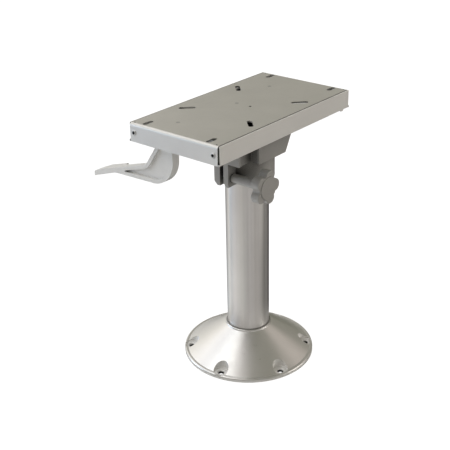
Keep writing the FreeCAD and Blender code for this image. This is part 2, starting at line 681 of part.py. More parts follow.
def clamp_knob():
    star = prism("y", STAR_FRONT, STAR_BACK, star_points())
    rim = [edge for edge in star.Edges if abs(edge.BoundBox.YLength) < 0.01]
    star = star.makeFillet(STAR_ROUND, rim)
    cap_front = STAR_FRONT - STAR_CAP_HEIGHT
    cap = rod("y", STAR_CAP_RADIUS, cap_front, STAR_BACK, CLAMP_X, CLAMP_Z)
    cap_rim = [edge for edge in cap.Edges if abs(edge.BoundBox.YMax - cap_front) < 0.01]
    cap = cap.makeFillet(STAR_CAP_ROUND, cap_rim)
    shank = rod("y", SHANK_RADIUS, STAR_BACK, SHANK_FACE, CLAMP_X, CLAMP_Z)
    boss = Part.makeCone(STAR_BOSS_RADIUS, SHANK_RADIUS, STAR_BOSS_LENGTH,
                         V(CLAMP_X, STAR_BACK, CLAMP_Z), V(0, 1, 0))
    bore = rod("y", STUD_RADIUS, STAR_FRONT + STUD_IN_KNOB, SHANK_FACE, CLAMP_X, CLAMP_Z)
    return joined([star, cap, boss, shank]).cut(bore)


def clamp_stud():
    stud = rod("y", STUD_RADIUS, STAR_FRONT + STUD_IN_KNOB, STUD_TIP, CLAMP_X, CLAMP_Z)
    tip = [edge for edge in stud.Edges if abs(edge.BoundBox.YMax - STUD_TIP) < 0.01
           and abs(edge.BoundBox.YLength) < 0.01]
    return stud.makeChamfer(STUD_CHAMFER, tip)


# Seat plate

def slot(x, y, length, width, angle):
    """Cutter for a round-ended slot through the top sheet."""
    half = length / 2 - width / 2
    bar = block(-half, half, -width / 2, width / 2, SHEET_UNDER, SEAT_TOP)
    ends = [rod("z", width / 2, SHEET_UNDER, SEAT_TOP, end) for end in (-half, half)]
    cutter = joined([bar] + ends)
    cutter.rotate(V(0, 0, 0), UP, angle)
    cutter.translate(V(SEAT_CENTRE + x, y, 0))
    return cutter


def end_rivet_places():
    return [(end, side) for end in (-1, 1) for side in (-1, 1)]


def top_pan():
    x0, x1 = SEAT_X0, SEAT_X1
    inner = BEND_RADIUS - SHEET
    half = SHEET_HALF_WIDTH
    sheet = prism("y", -half, half, [
        (x0, SEAT_BOTTOM), (x0, SEAT_TOP, BEND_RADIUS), (x1, SEAT_TOP, BEND_RADIUS), (x1, SEAT_BOTTOM),
        (x1 - SHEET, SEAT_BOTTOM), (x1 - SHEET, SHEET_UNDER, inner), (x0 + SHEET, SHEET_UNDER, inner),
        (x0 + SHEET, SEAT_BOTTOM),
    ])
    tabs = []
    for side in (-1, 1):
        low, high = sorted((side * half, side * SEAT_HALF_WIDTH))
        for start in (x0, x1 - SHEET):
            tabs.append(block(start, start + SHEET, low, high, SEAT_BOTTOM, SEAT_BOTTOM + CORNER_TAB))
    cuts = []
    for sx in (-1, 1):
        for sy in (-1, 1):
            offset = DIAGONAL_SLOT_OFFSET
            cuts.append(slot(sx * offset, sy * offset, DIAGONAL_SLOT_LENGTH, SLOT_WIDTH, 45 * sx * sy))
            slot_x = SEAT_LENGTH / 2 - END_SLOT_INSET
            cuts.append(slot(sx * slot_x, sy * END_SLOT_Y, END_SLOT_LENGTH, SLOT_WIDTH, 0))
            relief_x = SEAT_CENTRE + sx * (SEAT_LENGTH / 2 - RELIEF_INSET)
            relief_y = sy * (half - RELIEF_EDGE)
            cuts.append(rod("z", RELIEF_RADIUS, SHEET_UNDER, SEAT_TOP, relief_x, relief_y))
    hole_x, hole_y = CENTRE_HOLE
    cuts.append(rod("z", CENTRE_HOLE_RADIUS, SHEET_UNDER, SEAT_TOP, SEAT_CENTRE + hole_x, hole_y))
    for rivet in pan_rivet_list():
        cuts.append(rivet)
    for end, side in end_rivet_places():
        face = x0 if end < 0 else x1 - SHEET
        cuts.append(rod("x", RIVET_RADIUS, face, face + SHEET, side * END_RIVET_Y, SEAT_TOP - END_RIVET_DROP))
    return joined([sheet] + tabs).cut(cuts)


def rail():
    """Side rail on the -Y side: a C section that opens inwards, its top lip clear of the sheet's bends."""
    outer = SEAT_HALF_WIDTH
    top = SEAT_TOP - RAIL_TOP_DROP
    section = prism("x", RAIL_X0, RAIL_X1, [
        (-outer, SEAT_BOTTOM, RAIL_ROUND), (-RAIL_LIP_INNER, SEAT_BOTTOM), (-RAIL_LIP_INNER, RAIL_FLOOR),
        (-RAIL_INNER_WALL, RAIL_FLOOR), (-RAIL_INNER_WALL, RAIL_CEILING), (-RAIL_TOP_LIP_INNER, RAIL_CEILING),
        (-RAIL_TOP_LIP_INNER, SHEET_UNDER), (-RAIL_INNER_WALL, SHEET_UNDER), (-RAIL_INNER_WALL, top),
        (-outer, top, RAIL_WALL / 2),
    ])
    bend = BEND_RADIUS - SHEET
    ends = [block(x, x + bend, -RAIL_INNER_WALL, -RAIL_TOP_LIP_INNER, RAIL_CEILING, SHEET_UNDER)
            for x in (RAIL_X0, RAIL_X1 - bend)]
    lug_x1 = SEAT_X1 - LUG_INSET + LUG_LENGTH / 2
    lug_x0 = lug_x1 - LUG_LENGTH
    lug = prism("y", -outer, -RAIL_INNER_WALL, [
        (lug_x0, RAIL_FLOOR), (lug_x0, SEAT_BOTTOM - LUG_HEIGHT, LUG_ROUND),
        (lug_x1, SEAT_BOTTOM - LUG_HEIGHT, LUG_ROUND), (lug_x1, RAIL_FLOOR),
    ])
    return joined([section.cut(ends), lug])


def end_rivet_axis(side):
    return side * END_RIVET_Y, SEAT_TOP - END_RIVET_DROP


def end_blocks():
    blocks = []
    for end, side in end_rivet_places():
        start = RAIL_X0 if end < 0 else RAIL_X1 - END_BLOCK_LENGTH
        low, high = sorted((side * END_BLOCK_INNER, side * RAIL_INNER_WALL))
        piece = block(start, start + END_BLOCK_LENGTH, low, high, RAIL_FLOOR, RAIL_CEILING)
        y, z = end_rivet_axis(side)
        hole_start = start if end < 0 else start + END_BLOCK_LENGTH / 2
        blocks.append(piece.cut(rod("x", RIVET_RADIUS, hole_start, hole_start + END_BLOCK_LENGTH / 2, y, z)))
    return Part.makeCompound(blocks)


def end_rivets():
    rivets = []
    for end, side in end_rivet_places():
        y, z = end_rivet_axis(side)
        face = SEAT_X0 if end < 0 else SEAT_X1
        tail = face - end * (SHEET + END_BLOCK_LENGTH / 2)
        low, high = sorted((face, tail))
        shank = rod("x", RIVET_RADIUS, low, high, y, z)
        head = Part.makeCone(RIVET_HEAD_RADIUS, RIVET_HEAD_RADIUS - RIVET_HEAD_HEIGHT, RIVET_HEAD_HEIGHT,
                             V(face, y, z), V(end, 0, 0))
        mouth = face + end * RIVET_HEAD_HEIGHT
        low, high = sorted((mouth, face - end * SHEET))
        rivets.append(joined([shank, head]).cut(rod("x", RIVET_CORE_RADIUS, low, high, y, z)))
    return Part.makeCompound(rivets)


def pan_rivet_places():
    """Front, centre and rear, one for each of the shaft's brackets."""
    return [
        (SEAT_X0 + FRONT_RIVET_INSET, END_BRACKET_RIVET_Y), (SEAT_CENTRE + CENTRE_RIVET[0], CENTRE_RIVET[1]),
        (SEAT_X1 - REAR_RIVET_INSET, END_BRACKET_RIVET_Y),
    ]


def pan_rivet_list():
    rivets = []
    for x, y in pan_rivet_places():
        shank = rod("z", RIVET_RADIUS, SHEET_UNDER - BRACKET_SHEET, SEAT_TOP, x, y)
        head_foot = V(x, y, SEAT_TOP - PAN_RIVET_SINK)
        head = Part.makeCone(RIVET_RADIUS, RIVET_RADIUS + PAN_RIVET_SINK, PAN_RIVET_SINK, head_foot, UP)
        rivets.append(joined([shank, head]))
    return rivets


def pan_rivets():
    return Part.makeCompound(pan_rivet_list())


def bracket_faces():
    """Start of each bracket's upright along X, with its rivet; the foot reaches back over the rivet."""
    return [(rivet[0] + RIVET_RADIUS + BRACKET_SHEET, rivet) for rivet in pan_rivet_places()]


def shaft_bracket(start, rivet):
    foot_low = SHEET_UNDER - BRACKET_SHEET
    y0 = PIVOT_Y - BRACKET_HALF
    y1 = PIVOT_Y + BRACKET_HALF
    low = PIVOT_Z - BRACKET_ROUND
    upright = prism("x", start, start + BRACKET_SHEET, [
        (y0, SHEET_UNDER), (y0, low, BRACKET_ROUND), (y1, low, BRACKET_ROUND), (y1, SHEET_UNDER),
    ])
    foot_start = start - BRACKET_FOOT + BRACKET_SHEET
    foot = block(foot_start, start, min(y0, rivet[1] - 2 * RIVET_RADIUS), y1, foot_low, SHEET_UNDER)
    hole = rod("x", SHAFT_RADIUS + FIT_GAP + BUSH_WALL, start, start + BRACKET_SHEET, PIVOT_Y, PIVOT_Z)
    cut = rod("z", RIVET_RADIUS, foot_low, SHEET_UNDER, rivet[0], rivet[1])
    return joined([upright, foot]).cut(hole).cut(cut)


def shaft_bushings():
    bushes = []
    inner = SHAFT_RADIUS + FIT_GAP
    for start, rivet in bracket_faces():
        end = start + BRACKET_SHEET
        sleeve = rod("x", inner + BUSH_WALL, start, end, PIVOT_Y, PIVOT_Z)
        flange = rod("x", inner + BUSH_WALL + BUSH_FLANGE_REACH, end, end + BUSH_FLANGE, PIVOT_Y, PIVOT_Z)
        bore = rod("x", inner, start, end + BUSH_FLANGE, PIVOT_Y, PIVOT_Z)
        bushes.append(joined([sleeve, flange]).cut(bore))
    return Part.makeCompound(bushes)


# Lock lever, shaft and cam

def lever_point(place):
    out, down, radius = place
    return PIVOT_Y + out, PIVOT_Z - down, radius


def lever_outline():
    front = PIVOT_Y - HUB_RADIUS
    return [
        (front, PIVOT_Z + HUB_RADIUS, HUB_RADIUS), (front, PIVOT_Z - HEEL_DROP, HEEL_RADIUS),
        lever_point(ARM_UNDER_END), lever_point(TIP_UNDER), lever_point(TIP_TOP),
        lever_point(PADDLE_CREST), lever_point(NECK_BEND), lever_point(NECK_FRONT),
        lever_point(NECK_START), (PIVOT_Y + HUB_RADIUS, PIVOT_Z + HUB_RADIUS, HUB_RADIUS),
    ]


def lever_recess(start, end):
    """Pocket that leaves a rim along the lever's outline, and a ring round the hub."""
    pocket = Part.Face(outline("x", start, lever_outline())).makeOffset2D(-LEVER_RIM)
    pocket = pocket.extrude(V(end - start, 0, 0))
    hub = rod("x", HUB_RADIUS + HUB_RIM, start, end, PIVOT_Y, PIVOT_Z)
    arm = block(start, end, PIVOT_Y - HUB_RADIUS, PIVOT_Y + RECESS_END, LEVER_LOW, PIVOT_Z)
    return pocket.common(arm).cut(hub)


def lock_lever():
    paddle_back = LEVER_FRONT + PADDLE_DEPTH
    start = PIVOT_Y + PADDLE_START
    behind = prism("z", LEVER_LOW, LEVER_HIGH, [
        (LEVER_BACK, 0), (paddle_back, 0), (paddle_back, start + PADDLE_FLARE, PADDLE_EDGE),
        (LEVER_BACK, start, PADDLE_BEND),
    ])
    tip = PIVOT_Y + TIP_TOP[0]
    cuts = [behind, lever_pin()]
    for face, inwards in ((LEVER_FRONT, 1), (paddle_back, -1)):
        cuts.append(prism("z", LEVER_LOW, LEVER_HIGH, [
            (face, tip - PADDLE_CORNER), (face + PADDLE_CORNER * inwards, tip), (face, tip),
        ]))
    for face in (LEVER_FRONT, LEVER_BACK - LEVER_RECESS):
        cuts.append(lever_recess(face, face + LEVER_RECESS))
    cuts.append(rod("x", SHAFT_RADIUS, LEVER_FRONT, LEVER_BACK, PIVOT_Y, PIVOT_Z))
    return prism("x", LEVER_FRONT, paddle_back, lever_outline()).cut(cuts)


def lock_shaft():
    start = clip_place()
    end = start + CLIP_THICKNESS
    shaft = rod("x", SHAFT_RADIUS, LEVER_FRONT, end + SHAFT_TAIL, PIVOT_Y, PIVOT_Z)
    groove = pipe("x", SHAFT_RADIUS, SHAFT_RADIUS - CLIP_GROOVE, start, end, PIVOT_Y, PIVOT_Z)
    return shaft.cut([groove, lever_pin(), cam_pin()])


def clip_place():
    return bracket_faces()[-1][0] + BRACKET_SHEET + BUSH_FLANGE + RUN_GAP


def shaft_clip():
    start = clip_place()
    end = start + CLIP_THICKNESS
    ring = pipe("x", CLIP_RADIUS, SHAFT_RADIUS - CLIP_GROOVE, start, end, PIVOT_Y, PIVOT_Z)
    half = CLIP_MOUTH / 2
    return ring.cut(block(start, end, PIVOT_Y - half, PIVOT_Y + half, PIVOT_Z, PIVOT_Z + CLIP_RADIUS))


def lever_pin():
    x = LEVER_FRONT + LEVER_DEPTH / 2
    reach = HUB_RADIUS - PIN_SINK
    return rod("z", PIN_RADIUS, PIVOT_Z - reach, PIVOT_Z + reach, x, PIVOT_Y)


def cam_start():
    return bracket_faces()[1][0] - RUN_GAP - CAM_LENGTH


def cam_pin():
    x = cam_start() + CAM_LENGTH / 2
    return rod("z", PIN_RADIUS, PIVOT_Z - CAM_HUB + PIN_SINK, PIVOT_Z + CAM_HUB, x, PIVOT_Y)


def lock_cam():
    """Hub with a nose that bears on the lock strip."""
    drop = (PIVOT_Z - STRIP_TOP - RUN_GAP - CAM_NOSE) / math.cos(math.radians(CAM_LEAN))
    flank_angle = math.acos((CAM_HUB - CAM_NOSE) / drop)
    side = (math.sin(flank_angle), math.cos(flank_angle))
    start = cam_start()
    end = start + CAM_LENGTH
    flank = prism("x", start, end, [
        (PIVOT_Y - CAM_HUB * side[0], PIVOT_Z - CAM_HUB * side[1]),
        (PIVOT_Y + CAM_HUB * side[0], PIVOT_Z - CAM_HUB * side[1]),
        (PIVOT_Y + CAM_NOSE * side[0], PIVOT_Z - drop - CAM_NOSE * side[1]),
        (PIVOT_Y - CAM_NOSE * side[0], PIVOT_Z - drop - CAM_NOSE * side[1]),
    ])
    hub = rod("x", CAM_HUB, start, end, PIVOT_Y, PIVOT_Z)
    nose = rod("x", CAM_NOSE, start, end, PIVOT_Y, PIVOT_Z - drop)
    bore = rod("x", SHAFT_RADIUS, start, end, PIVOT_Y, PIVOT_Z)
    cam = joined([hub, flank, nose])
    cam.rotate(V(start, PIVOT_Y, PIVOT_Z), V(1, 0, 0), CAM_LEAN)
    return cam.cut([bore, cam_pin()])


def return_spring():
    """Torsion spring round the shaft: one leg bears on the sheet, the other turns in to the shaft."""
    length = SPRING_PITCH * SPRING_TURNS
    leg = SHEET_UNDER - PIVOT_Z
    turns = Part.makeHelix(SPRING_PITCH, length, SPRING_RADIUS, 0, True)
    section = Part.makeCircle(SPRING_WIRE, V(SPRING_RADIUS, 0, 0), V(0, 1, 0))
    coil = Part.Wire(turns).makePipeShell([Part.Wire(section)], True, True)
    pan_leg = Part.makeCylinder(SPRING_WIRE, leg, V(SPRING_RADIUS, 0, 0), V(0, 1, 0))
    end = Part.Face(Part.Wire(Part.makeCircle(SPRING_WIRE, V(SPRING_RADIUS, 0, length), V(0, 1, 0))))
    elbow = end.revolve(V(SPRING_RADIUS - SPRING_ELBOW, 0, length), V(0, 0, -1), 90)
    reach = SPRING_RADIUS - SPRING_ELBOW - math.sqrt((SHAFT_RADIUS + RUN_GAP) ** 2 - SPRING_ELBOW ** 2)
    corner = V(SPRING_RADIUS - SPRING_ELBOW, -SPRING_ELBOW, length)
    shaft_leg = Part.makeCylinder(SPRING_WIRE, reach, corner, V(-1, 0, 0))
    spring = coil.fuse([pan_leg, elbow, shaft_leg])
    spring.rotate(V(0, 0, 0), V(0, 1, 0), 90)
    spring.rotate(V(0, 0, 0), V(1, 0, 0), 90)
    start = bracket_faces()[0][0] + BRACKET_SHEET + BUSH_FLANGE + SPRING_WIRE + RUN_GAP
    spring.translate(V(start, PIVOT_Y, PIVOT_Z))
    return spring


def build():
    os.makedirs("parts", exist_ok=True)
    save("base_flange", base_flange())
    save("column_tube", column_tube())
    save("neck_seal", neck_seal())
    save("tube_set_screws", tube_set_screws())
    save("column_plug", column_plug())
    save("thrust_washer", thrust_washer())
    save("retaining_washer", retaining_washer())
    save("retaining_bolt", retaining_bolt())
    save("swivel_head", swivel_head())
    save("swivel_sleeve", swivel_sleeve())
    save("clamp_nut", clamp_nut())
    save("slide_base", slide_base())
    save("base_screws", base_screws())
    save("lock_strip", lock_strip())
    save("strip_rivets", strip_rivets())
    save("glide_right", glide())
    save("glide_left", mirrored_y(glide()))
    save("clamp_washer", clamp_washer())
    save("clamp_knob", clamp_knob())
    save("clamp_stud", clamp_stud())
    save("top_pan", top_pan())
    save("rail_right", rail())
    save("rail_left", mirrored_y(rail()))
    save("end_blocks", end_blocks())
    save("end_rivets", end_rivets())
    save("pan_rivets", pan_rivets())
    for name, place in zip(("front_bracket", "centre_bracket", "rear_bracket"), bracket_faces()):
        save(name, shaft_bracket(*place))
    save("shaft_bushings", shaft_bushings())
    save("lock_lever", lock_lever())
    save("lock_shaft", lock_shaft())
    save("lock_cam", lock_cam())
    save("lever_pin", lever_pin())
    save("cam_pin", cam_pin())
    save("shaft_clip", shaft_clip())
    save("return_spring", return_spring())


build()
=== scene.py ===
import math

import bpy
from mathutils import Matrix, Vector

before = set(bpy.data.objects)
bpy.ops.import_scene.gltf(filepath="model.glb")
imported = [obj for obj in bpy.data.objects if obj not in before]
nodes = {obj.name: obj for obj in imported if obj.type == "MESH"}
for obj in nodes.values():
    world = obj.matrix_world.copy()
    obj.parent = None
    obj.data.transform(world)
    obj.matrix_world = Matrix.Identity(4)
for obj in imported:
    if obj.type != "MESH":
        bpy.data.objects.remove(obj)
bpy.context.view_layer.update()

# Camera of the photograph: place in metres, right, up and back directions, lens in millimetres
CAMERA_PLACE = Vector((-1.094908, -0.882348, 0.915621))
CAMERA_RIGHT = Vector((0.64067548, -0.76754654, -0.02018017))
CAMERA_UP = Vector((0.34328409, 0.26283372, 0.90170642))
CAMERA_BACK = Vector((-0.68679761, -0.58462872, 0.43187764))
CAMERA_LENS = 73.70
SENSOR_WIDTH = 36.0
CLIP_START = 0.01
CLIP_END = 100.0

# Glow of the room in rings: elevation, half width of a full glow, half width of its outer edge, all in
# degrees, then the glows of the ring with their azimuth and colour
ROOM_GLOW = [
    (90.0, 88.9, 91.1, {0.0: (0.27, 0.26, 0.22)}),
    (52.0, 11.7, 26.0, {
        72.0: (0.63, 0.62, 0.64),
        108.0: (0.26, 0.26, 0.32),
        144.0: (1.17, 1.20, 1.18),
        180.0: (0.88, 0.81, 0.82),
    }),
    (28.0, 11.7, 26.0, {
        90.0: (0.76, 0.73, 0.69),
        330.0: (0.32, 0.27, 0.26),
    }),
    (2.0, 10.8, 24.0, {
        30.0: (0.13, 0.13, 0.10),
        60.0: (0.53, 0.52, 0.50),
        120.0: (1.98, 2.28, 2.75),
        300.0: (2.16, 2.06, 1.95),
    }),
    (-24.0, 8.1, 18.0, {
        100.0: (0.63, 0.56, 0.47),
        140.0: (0.27, 0.28, 0.31),
        160.0: (0.34, 0.33, 0.34),
        180.0: (0.32, 0.28, 0.27),
        200.0: (0.36, 0.34, 0.33),
        220.0: (0.46, 0.44, 0.43),
        240.0: (0.51, 0.49, 0.48),
        260.0: (0.41, 0.39, 0.37),
        280.0: (0.41, 0.39, 0.38),
        300.0: (0.09, 0.09, 0.08),
        340.0: (0.26, 0.25, 0.24),
        66.0: (0.37, 0.36, 0.35),
    }),
    (-50.0, 13.5, 30.0, {
        90.0: (0.53, 0.63, 0.72),
        135.0: (0.98, 0.92, 0.84),
        180.0: (0.56, 0.60, 0.57),
    }),
]
WHITE = (1.0, 1.0, 1.0, 1.0)

FLOOR_HALF = 15.0
FLOOR_NEAR_RADIUS = 0.15
FLOOR_NEAR_POINTS = 96
FLOOR_DROP = 0.0001
FLOOR_COLOUR = (0.8, 0.8, 0.8)
FLOOR_ROUGHNESS = 0.9
FLOOR_GLOW = 1.25
FLOOR_SHADE = 0.2        # share of real light and shadow in the floor that the camera sees


class Tree:
    """A node tree being built."""

    def __init__(self, tree):
        self.tree = tree

    def feed(self, socket, value):
        """Link another node's output to the socket, or set its own value."""
        if isinstance(value, bpy.types.NodeSocket):
            self.tree.links.new(value, socket)
        else:
            socket.default_value = value

    def node(self, kind, inputs=None, **settings):
        made = self.tree.nodes.new("ShaderNode" + kind)
        for key, value in settings.items():
            setattr(made, key, value)
        for key, value in (inputs or {}).items():
            self.feed(made.inputs[key], value)
        return made

    def mix_shader(self, factor, first, second):
        return self.node("MixShader", {0: factor, 1: first.outputs[0], 2: second.outputs[0]})


def add_camera():
    data = bpy.data.cameras.new("photo_camera")
    data.lens = CAMERA_LENS
    data.sensor_width = SENSOR_WIDTH
    data.sensor_fit = "HORIZONTAL"
    data.clip_start = CLIP_START
    data.clip_end = CLIP_END
    camera = bpy.data.objects.new("photo_camera", data)
    bpy.context.scene.collection.objects.link(camera)
    turn = Matrix((CAMERA_RIGHT, CAMERA_UP, CAMERA_BACK)).transposed().to_4x4()
    camera.matrix_world = Matrix.Translation(CAMERA_PLACE) @ turn
    bpy.context.scene.camera = camera


def direction(azimuth, elevation):
    around = math.radians(azimuth)
    above = math.radians(elevation)
    flat = math.cos(above)
    return Vector((flat * math.cos(around), flat * math.sin(around), math.sin(above)))


def add_world():
    """Soft glow of the studio on the object, and plain white where the camera looks past it."""
    world = bpy.data.worlds.new("studio")
    bpy.context.scene.world = world
    world.use_nodes = True
    world.node_tree.nodes.clear()
    sky = Tree(world.node_tree)
    place = sky.node("TexCoord").outputs["Generated"]
    total = None
    for elevation, full, edge, glows in ROOM_GLOW:
        for azimuth, colour in glows.items():
            near = sky.node("VectorMath", {0: place, 1: direction(azimuth, elevation)},
                            operation="DOT_PRODUCT")
            fade = sky.node("MapRange", {
                "Value": near.outputs["Value"],
                "From Min": math.cos(math.radians(edge)),
                "From Max": math.cos(math.radians(full)),
            }, interpolation_type="SMOOTHSTEP")
            glow = sky.node("VectorMath", {0: colour, "Scale": fade.outputs["Result"]},
                            operation="SCALE")
            if total:
                total = sky.node("VectorMath", {0: total.outputs[0], 1: glow.outputs[0]},
                                 operation="ADD")
            else:
                total = glow
    room = sky.node("Background", {"Color": total.outputs[0]})
    seen = sky.node("Background", {"Color": WHITE})
    path = sky.node("LightPath")
    mix = sky.mix_shader(path.outputs["Is Camera Ray"], room, seen)
    sky.node("OutputWorld", {"Surface": mix.outputs[0]})


def floor_material():
    """Pale paper: lit by the studio, and kept near white where the camera looks straight at it."""
    look = Look("floor_paper", FLOOR_COLOUR, FLOOR_ROUGHNESS)
    glow = look.node("Emission", {"Strength": FLOOR_GLOW})
    seen = look.mix_shader(FLOOR_SHADE, glow, look.shader)
    path = look.node("LightPath")
    mix = look.mix_shader(path.outputs["Is Camera Ray"], look.shader, seen)
    look.feed(look.tree.nodes["Material Output"].inputs["Surface"], mix.outputs[0])
    return look.material


def add_floor():
    """A wide sheet that only the camera sees, and a disc under the object that throws light back."""
    half = FLOOR_HALF
    low = -FLOOR_DROP
    wide = [(-half, -half, low), (half, -half, low), (half, half, low), (-half, half, low)]
    step = 2 * math.pi / FLOOR_NEAR_POINTS
    near = [(FLOOR_NEAR_RADIUS * math.cos(step * i), FLOOR_NEAR_RADIUS * math.sin(step * i), 0)
            for i in range(FLOOR_NEAR_POINTS)]
    paper = floor_material()
    for name, points in (("floor_wide", wide), ("floor_near", near)):
        mesh = bpy.data.meshes.new(name)
        mesh.from_pydata(points, [], [tuple(range(len(points)))])
        floor = bpy.data.objects.new(name, mesh)
        bpy.context.scene.collection.objects.link(floor)
        mesh.materials.append(paper)
        if name == "floor_wide":
            floor.visible_diffuse = False
            floor.visible_glossy = False
            floor.visible_shadow = False


# Sets of values for the materials, lengths in metres. A crevice's set says how the painted shade in slits
# and inner corners goes: share of the colour, how far off a wall still shades, and the openness up to
# which
# a place is fully dark and from which it isn't dark at all. The last two are mostly these:
OPEN_SKY = (0.12, 0.72)
# Painted shadow of the gap where the top sheet meets the rails: axis, distance from the middle, half width
SHEET_SEAM = (1, 0.0879, 0.00045)
# Turned cone of the base: slope, height of its tip on the Z axis
BASE_CONE = (0.6873, 0.0815)
# Bolt holes of the base: radius of their circle, reach of a hole, height of the pockets' floors
BASE_HOLES = (0.1016, 0.0046, 0.0055)

# The middle of a noise, which is stretched to a full range
NOISE_LOW = 0.3
NOISE_HIGH = 0.7


class Look(Tree):
    """One material being built."""

    EDGE_SAMPLES = 4
    EDGE_TURN = (0.01, 0.2)         # 1 minus the cosine between rounded and plain normal, where the lighter edge starts and where it is full
    EDGE_PATCHES = 260.0            # scale of the noise that breaks up the edges lighter from wear and a painted highlight
    EDGE_LEAST = 0.35               # share of that edge lightening left where that noise is low
    CREVICE_SAMPLES = 6
    CONE_FADE = (0.0004, 0.0012)    # depths under the cone between which its finish gives way
    HOLE_FADE = 1.2                 # where the dark of a hole ends, in its reaches
    HOLE_DARK_TO = 0.55             # fully dark up to here, in heights of the pockets' floors
    HOLE_LIGHT_FROM = 0.8           # and not at all from here on

    def __init__(self, name, colour, roughness, metallic=0.0):
        self.material = bpy.data.materials.new(name)
        self.material.use_nodes = True
        super().__init__(self.material.node_tree)
        self.shader = self.tree.nodes["Principled BSDF"]
        self.shader.inputs["Base Color"].default_value = (*colour, 1.0)
        self.shader.inputs["Metallic"].default_value = metallic
        self.shader.inputs["Roughness"].default_value = roughness
        self.place = self.node("TexCoord").outputs["Object"]

    def math(self, operation, a, b):
        return self.node("Math", {0: a, 1: b}, operation=operation).outputs[0]

    def absolute(self, value):
        return self.math("ABSOLUTE", value, 0.0)

    def stretched(self, scale):
        return self.node("Mapping", {"Vector": self.place, "Scale": scale}).outputs[0]

    def radius_and_height(self):
        parts = self.node("SeparateXYZ", {0: self.place})
        flat = self.node("CombineXYZ", {0: parts.outputs[0], 1: parts.outputs[1]})
        length = self.node("VectorMath", {0: flat.outputs[0]}, operation="LENGTH")
        return length.outputs["Value"], parts.outputs[2]

    def rings(self, radial, along):
        """Coordinates for turned metal: distance from the Z axis and height."""
        radius, height = self.radius_and_height()
        return self.node("CombineXYZ", {
            0: self.math("MULTIPLY", radius, radial), 1: self.math("MULTIPLY", height, along),
        }).outputs[0]

    def under_cone(self, cone):
        """1 below the cone, 0 on the cone itself."""
        slope, top = cone
        radius, height = self.radius_and_height()
        surface = self.math("SUBTRACT", top, self.math("MULTIPLY", radius, slope))
        return self.span(self.math("SUBTRACT", surface, height), 0.0, 1.0, *self.CONE_FADE)

    def in_bolt_holes(self, holes):
        """1 near the bolt circle and below the pockets' floors, where the bolt holes are."""
        circle, reach, floor = holes
        radius, height = self.radius_and_height()
        aside = self.absolute(self.math("SUBTRACT", radius, circle))
        near = self.span(aside, 1.0, 0.0, reach, reach * self.HOLE_FADE)
        low = self.span(height, 1.0, 0.0, floor * self.HOLE_DARK_TO, floor * self.HOLE_LIGHT_FROM)
        return self.math("MULTIPLY", near, low)

    def noise(self, scale, detail=3.0, roughness=0.55, place=None):
        """Noise with its scale in cells a metre, or in cells of a stretched place."""
        made = self.node("TexNoise", {
            "Vector": place or self.place, "Scale": scale, "Detail": detail, "Roughness": roughness,
        })
        return made.outputs["Fac"]

    def span(self, value, low, high, from_low=NOISE_LOW, from_high=NOISE_HIGH):
        """Value brought from the range from_low..from_high to the range low..high."""
        return self.node("MapRange", {
            "Value": value, "From Min": from_low, "From Max": from_high, "To Min": low, "To Max": high,
        }).outputs["Result"]

    def swing(self, value, amount, *around):
        return self.span(value, -amount, amount, *around)

    def blend(self, factor, first, second):
        made = self.node("Mix", data_type="RGBA")
        self.feed(made.inputs[0], factor)
        self.feed(made.inputs[6], (*first, 1.0) if isinstance(first, tuple) else first)
        self.feed(made.inputs[7], (*second, 1.0) if isinstance(second, tuple) else second)
        return made.outputs[2]

    def clouds(self, noise, low, high):
        return self.blend(self.span(noise, 0.0, 1.0), low, high)

    def edges(self, radius):
        """1 on convex edges and in corners, 0 on faces, broken up by a noise."""
        rounded = self.node("Bevel", {"Radius": radius}, samples=self.EDGE_SAMPLES)
        plain = self.node("NewGeometry")
        same = self.node("VectorMath", {0: rounded.outputs[0], 1: plain.outputs["Normal"]},
                         operation="DOT_PRODUCT")
        turned = self.math("SUBTRACT", 1.0, same.outputs["Value"])
        mask = self.span(turned, 0.0, 1.0, *self.EDGE_TURN)
        patchy = self.span(self.noise(self.EDGE_PATCHES, detail=4.0), self.EDGE_LEAST, 1.0)
        return self.math("MULTIPLY", mask, patchy)

    def with_painted_shade(self, tone, colour, crevice):
        """Tone with painted shade in slits, pockets and inner corners, where the surface is sheltered."""
        shade, reach, closed_to, open_from = crevice
        shelter = self.node("AmbientOcclusion", {"Distance": reach}, samples=self.CREVICE_SAMPLES)
        shut = self.span(shelter.outputs["AO"], 1.0, 0.0, closed_to, open_from)
        return self.blend(shut, tone, tinted(colour, shade))

    def band(self, seam):
        """1 where the coordinate lies near the seam on either side, fading to 0 over as much again."""
        axis, centre, half_width = seam
        parts = self.node("SeparateXYZ", {0: self.place})
        off = self.math("SUBTRACT", self.absolute(parts.outputs[axis]), centre)
        return self.span(self.absolute(off), 1.0, 0.0, half_width, 2 * half_width)

    def bump(self, height, distance, normal=None):
        made = self.node("Bump", {"Height": height, "Distance": distance, "Strength": 1.0})
        if normal:
            self.feed(made.inputs["Normal"], normal)
        return made.outputs["Normal"]

    def finish(self, colour, roughness, normal):
        self.feed(self.shader.inputs["Base Color"], colour)
        self.feed(self.shader.inputs["Roughness"], roughness)
        self.feed(self.shader.inputs["Normal"], normal)
        return self.material


def tinted(colour, factor):
    return tuple(min(1.0, part * factor) for part in colour)


def tints(colour, factors):
    return [tinted(colour, factor) for factor in factors]


# How the fine lines of a metal run, as scales of the noise along X, Y and Z, or outwards and up
GRAIN = {
    "x": (40.0, 2600.0, 2600.0),
    "z": (2600.0, 2600.0, 30.0),
    "none": (1500.0, 1500.0, 1500.0),
    "rings": (3200.0, 3200.0),
}
# Names in this group and the next ones: CREVICE, the painted shade in hollows; CLOUDS, tints of the
# darkest and lightest places; EDGE_LIT, width of the edges lighter from wear and a painted highlight;
# POLISH, how much smoother they are; SWING, how far the roughness strays; DEPTH, height of the bumps; TINT
# and SHADE, share of the colour
METAL_CREVICE = (0.3, 0.008, *OPEN_SKY)
METAL_CLOUDS = (0.96, 1.03)
METAL_EDGE_LIT = 0.0007
METAL_EDGE_LIT_TINT = 1.15
METAL_POLISH = 0.08
SEAM_SHADE = 0.38

